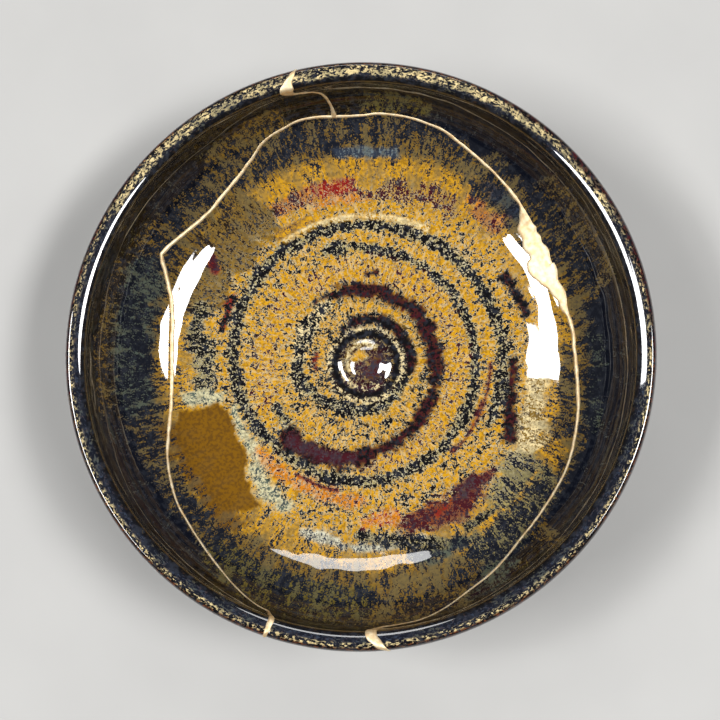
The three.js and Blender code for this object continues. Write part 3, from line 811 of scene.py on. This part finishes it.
def glaze_material():
    """Thick glossy glaze that broke into drips on the wall and specks on the floor. Where the pattern is
    high the glaze is thin and light, where it is low it is dark, and between them lies a narrow band that
    is cream on the floor and murky on the wall."""
    material, tree, shader = new_material("runny_glaze", Specular_IOR_Level=0.3, Coat_Roughness=0.02)
    light = node(tree, "ShaderNodeAttribute", {}, attribute_name="light")
    dark = node(tree, "ShaderNodeAttribute", {}, attribute_name="dark")
    flow = node(tree, "ShaderNodeAttribute", {}, attribute_name="flow").outputs["Vector"]
    body = node(tree, "ShaderNodeAttribute", {}, attribute_name="body")
    streaks, bare, creamy = node(tree, "ShaderNodeSeparateColor", {0: body.outputs["Color"]}).outputs
    lip = body.outputs["Alpha"]
    where = millimetres(tree)

    drips = cloud(tree, flow, 0.75, 3.0, 0.62, 0.5)
    runs = cloud(tree, flow, 0.2, 2.0)
    specks = cloud(tree, where, 0.6, 3.0, 0.65, 0.4)
    clusters = cloud(tree, where, 0.22, 2.0)
    dust = cloud(tree, where, 1.7, 2.0, 0.6)
    spikes = cloud(tree, stretched(tree, flow, 0.52, 1.0), 0.7, 3.0, 0.62, 0.5)
    rim = cloud(tree, stretched(tree, flow, 0.7, 3.0), 1.1, 3.0, 0.65, 0.3)
    on_wall = mixture(tree, (drips, 0.42), (runs, 0.25), (dust, 0.33))
    on_floor = mixture(tree, (specks, 0.42), (spikes, 0.2), (clusters, 0.1), (dust, 0.28))
    pattern = node(tree, "ShaderNodeMix", {0: streaks, 2: on_floor, 3: on_wall}).outputs[0]
    pattern = node(tree, "ShaderNodeMix", {0: lip, 2: pattern, 3: rim}).outputs[0]
    swing = maths(tree, "MULTIPLY", maths(tree, "SUBTRACT", pattern, 0.5), 8.0)
    swing = maths(tree, "MULTIPLY", swing, dark.outputs["Alpha"])
    thin = maths(tree, "ADD", swing, maths(tree, "MULTIPLY_ADD", light.outputs["Alpha"], 1.3, -0.79))

    tone = cloud(tree, stretched(tree, flow, 0.7, 1.0), 0.5, 3.0, 0.6, 0.4)
    murky = blend(tree, 0.6, light.outputs["Color"], dark.outputs["Color"])
    between = blend(tree, creamy, murky, CREAM_EDGE)
    deep = blend(tree, 0.5, light.outputs["Color"], DEEP_BROWN)
    bright = blend(tree, step(tree, cloud(tree, where, 0.9, 2.0), 0.36, 0.6), deep, light.outputs["Color"])
    pale = maths(tree, "MULTIPLY", step(tree, tone, 0.55, 0.62), maths(tree, "MULTIPLY", creamy, 0.45))
    bright = blend(tree, pale, bright, CREAM_EDGE)
    mossy = maths(tree, "MULTIPLY", step(tree, runs, 0.47, 0.62), maths(tree, "MULTIPLY", streaks, 0.45))
    mossy = maths(tree, "MULTIPLY", mossy, dark.outputs["Alpha"])
    bright = blend(tree, mossy, bright, MOSS)
    cloudy = maths(tree, "MULTIPLY", step(tree, cloud(tree, where, 0.4, 3.0, 0.6), 0.46, 0.64), 0.6)
    shade = blend(tree, cloudy, dark.outputs["Color"], SLATE)
    crumbs = maths(tree, "MULTIPLY", step(tree, cloud(tree, where, 1.2, 1.0), 0.62, 0.68), creamy)
    shade = blend(tree, maths(tree, "MULTIPLY", crumbs, 0.9), shade, CREAM_EDGE)
    colour = blend(tree, step(tree, thin, -0.05, 0.03), shade, between)
    colour = blend(tree, step(tree, thin, 0.06, 0.18), colour, bright)
    grit = blend(tree, step(tree, specks, 0.35, 0.7), (0.45, 0.27, 0.14, 1.0), (0.3, 0.17, 0.08, 1.0))
    colour = blend(tree, bare, colour, grit)
    tree.links.new(colour, shader.inputs["Base Color"])

    shine = node(tree, "ShaderNodeAttribute", {}, attribute_name="shine").outputs["Fac"]
    tree.links.new(shine, shader.inputs["Coat Weight"])
    rough = mixture(tree, (bare, 0.6), (specks, 0.06))
    tree.links.new(rough, shader.inputs["Roughness"])
    height = mixture(tree, (pattern, 0.5), (clusters, 0.5))
    bump = node(tree, "ShaderNodeBump", {"Strength": 0.1, "Distance": 0.0001, "Height": height})
    tree.links.new(bump.outputs[0], shader.inputs["Normal"])
    return material


def gold_material():
    """Burnished gold powder over lacquer: satin, a little uneven, and duller where it was brushed."""
    material, tree, shader = new_material("brushed_gold", Metallic=0.75)
    where = millimetres(tree)
    tone = cloud(tree, where, 0.5, 3.0, 0.6)
    colour = blend(tree, step(tree, tone, 0.35, 0.65), (0.78, 0.56, 0.30, 1.0), (0.93, 0.78, 0.52, 1.0))
    tree.links.new(colour, shader.inputs["Base Color"])
    rough = maths(tree, "MULTIPLY_ADD", cloud(tree, where, 2.0, 3.0), 0.2, 0.45)
    tree.links.new(rough, shader.inputs["Roughness"])
    grain = cloud(tree, where, 1.6, 3.0, 0.6)
    bump = node(tree, "ShaderNodeBump", {"Strength": 0.2, "Distance": 0.0001, "Height": grain})
    tree.links.new(bump.outputs[0], shader.inputs["Normal"])
    return material


def floor_material():
    """Plain pale ground."""
    material, tree, shader = new_material("pale_ground", Roughness=0.7)
    tone = cloud(tree, millimetres(tree), 0.02, 3.0)
    colour = blend(tree, tone, (0.40, 0.395, 0.385, 1.0), (0.46, 0.455, 0.44, 1.0))
    tree.links.new(colour, shader.inputs["Base Color"])
    return material


# ---------------------------------------------------------------- the pieces

glaze = glaze_material()
gold = gold_material()

shards = [
    (rim_shard("left_rim_shard_glazed", rear_line, left_line, 250, 116), "left_rim_shard", "rim_glaze"),
    (rim_shard("right_rim_shard_glazed", right_line, rear_line, 310, 112), "right_rim_shard", "rim_glaze"),
    (centre_shard("centre_shard_glazed"), "centre_shard", "floor_glaze"),
]
for (shard, angle, way), replaced, slot in shards:
    paint_shard(shard, angle, way)
    shard.data.materials.append(glaze)
    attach(shard, "root")
    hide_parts(replaced)

seam = gold_seam("gold_seam_brushed")
seam.data.materials.append(gold)
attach(seam, "root")
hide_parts("gold_seam")


# ---------------------------------------------------------------- the studio

def direction(azimuth, elevation):
    """A unit vector towards an azimuth and elevation in degrees."""
    a, e = math.radians(azimuth), math.radians(elevation)
    return Vector((math.cos(a) * math.cos(e), math.sin(a) * math.cos(e), math.sin(e)))


LAMP_AWAY = 3.0


def softbox(name, shape, azimuth, elevation, width, height, tilt, brightness):
    """A flat lamp that faces the bowl. Its place, size and tilt are angles in degrees as seen from the bowl,
    and its power follows from its area and brightness."""
    data = bpy.data.lights.new(name, "AREA")
    data.shape = shape
    data.size = 2.0 * LAMP_AWAY * math.tan(math.radians(width / 2.0))
    data.size_y = 2.0 * LAMP_AWAY * math.tan(math.radians(height / 2.0))
    data.energy = brightness * math.pi * data.size * data.size_y
    lamp = bpy.data.objects.new(name, data)
    towards = direction(azimuth, elevation)
    turned = towards.to_track_quat("Z", "Y").to_matrix() @ Matrix.Rotation(math.radians(tilt), 3, "Z")
    lamp.location = towards * LAMP_AWAY + Vector((0.0, 0.0, 0.03))
    lamp.rotation_euler = turned.to_euler()
    lamp.visible_camera = False
    bpy.context.scene.collection.objects.link(lamp)


def floor():
    """A flat pale ground under the bowl."""
    half = 1.5
    mesh = bpy.data.meshes.new("ground")
    mesh.from_pydata([(-half, -half, 0), (half, -half, 0), (half, half, 0), (-half, half, 0)], [], [(0, 1, 2, 3)])
    ground = bpy.data.objects.new("ground", mesh)
    ground.data.materials.append(floor_material())
    bpy.context.scene.collection.objects.link(ground)


def camera():
    """A camera almost straight above, leaning towards the front right."""
    lean, round_by = math.radians(7.307), math.radians(36.283)
    back = Vector((math.sin(round_by) * math.sin(lean), -math.cos(round_by) * math.sin(lean), math.cos(lean)))
    right = (Vector((1.0, 0.0, 0.0)) - back * back.x).normalized()
    turn = Matrix((right, back.cross(right), back)).transposed()
    data = bpy.data.cameras.new("camera")
    data.sensor_width = 36.0
    data.lens = 71.64
    made = bpy.data.objects.new("camera", data)
    aim = Vector((1.354, -3.363, HEIGHT)) * MM
    made.matrix_world = Matrix.Translation(aim + back * 0.48) @ turn.to_4x4()
    bpy.context.scene.collection.objects.link(made)
    bpy.context.scene.camera = made


def sky():
    """Even, faintly blue light from all round."""
    world = bpy.data.worlds.new("sky")
    world.use_nodes = True
    background = world.node_tree.nodes["Background"]
    background.inputs["Color"].default_value = (0.92, 0.95, 1.0, 1.0)
    background.inputs["Strength"].default_value = 0.1
    bpy.context.scene.world = world


floor()
sky()
camera()
softbox("right_window", "ELLIPSE", 1, 58, 17, 12.5, 0, 24)
softbox("right_window_end", "ELLIPSE", -15, 60.0, 20, 9.0, -12, 24)
softbox("left_window", "RECTANGLE", 171, 58.5, 9, 14, 0, 24)
softbox("left_window_end", "ELLIPSE", 192, 56.8, 22, 9, 4, 24)
softbox("rear_strip", "ELLIPSE", 94, 46.4, 27, 7.5, 0, 6)
bpy.context.scene.view_settings.view_transform = "Standard"
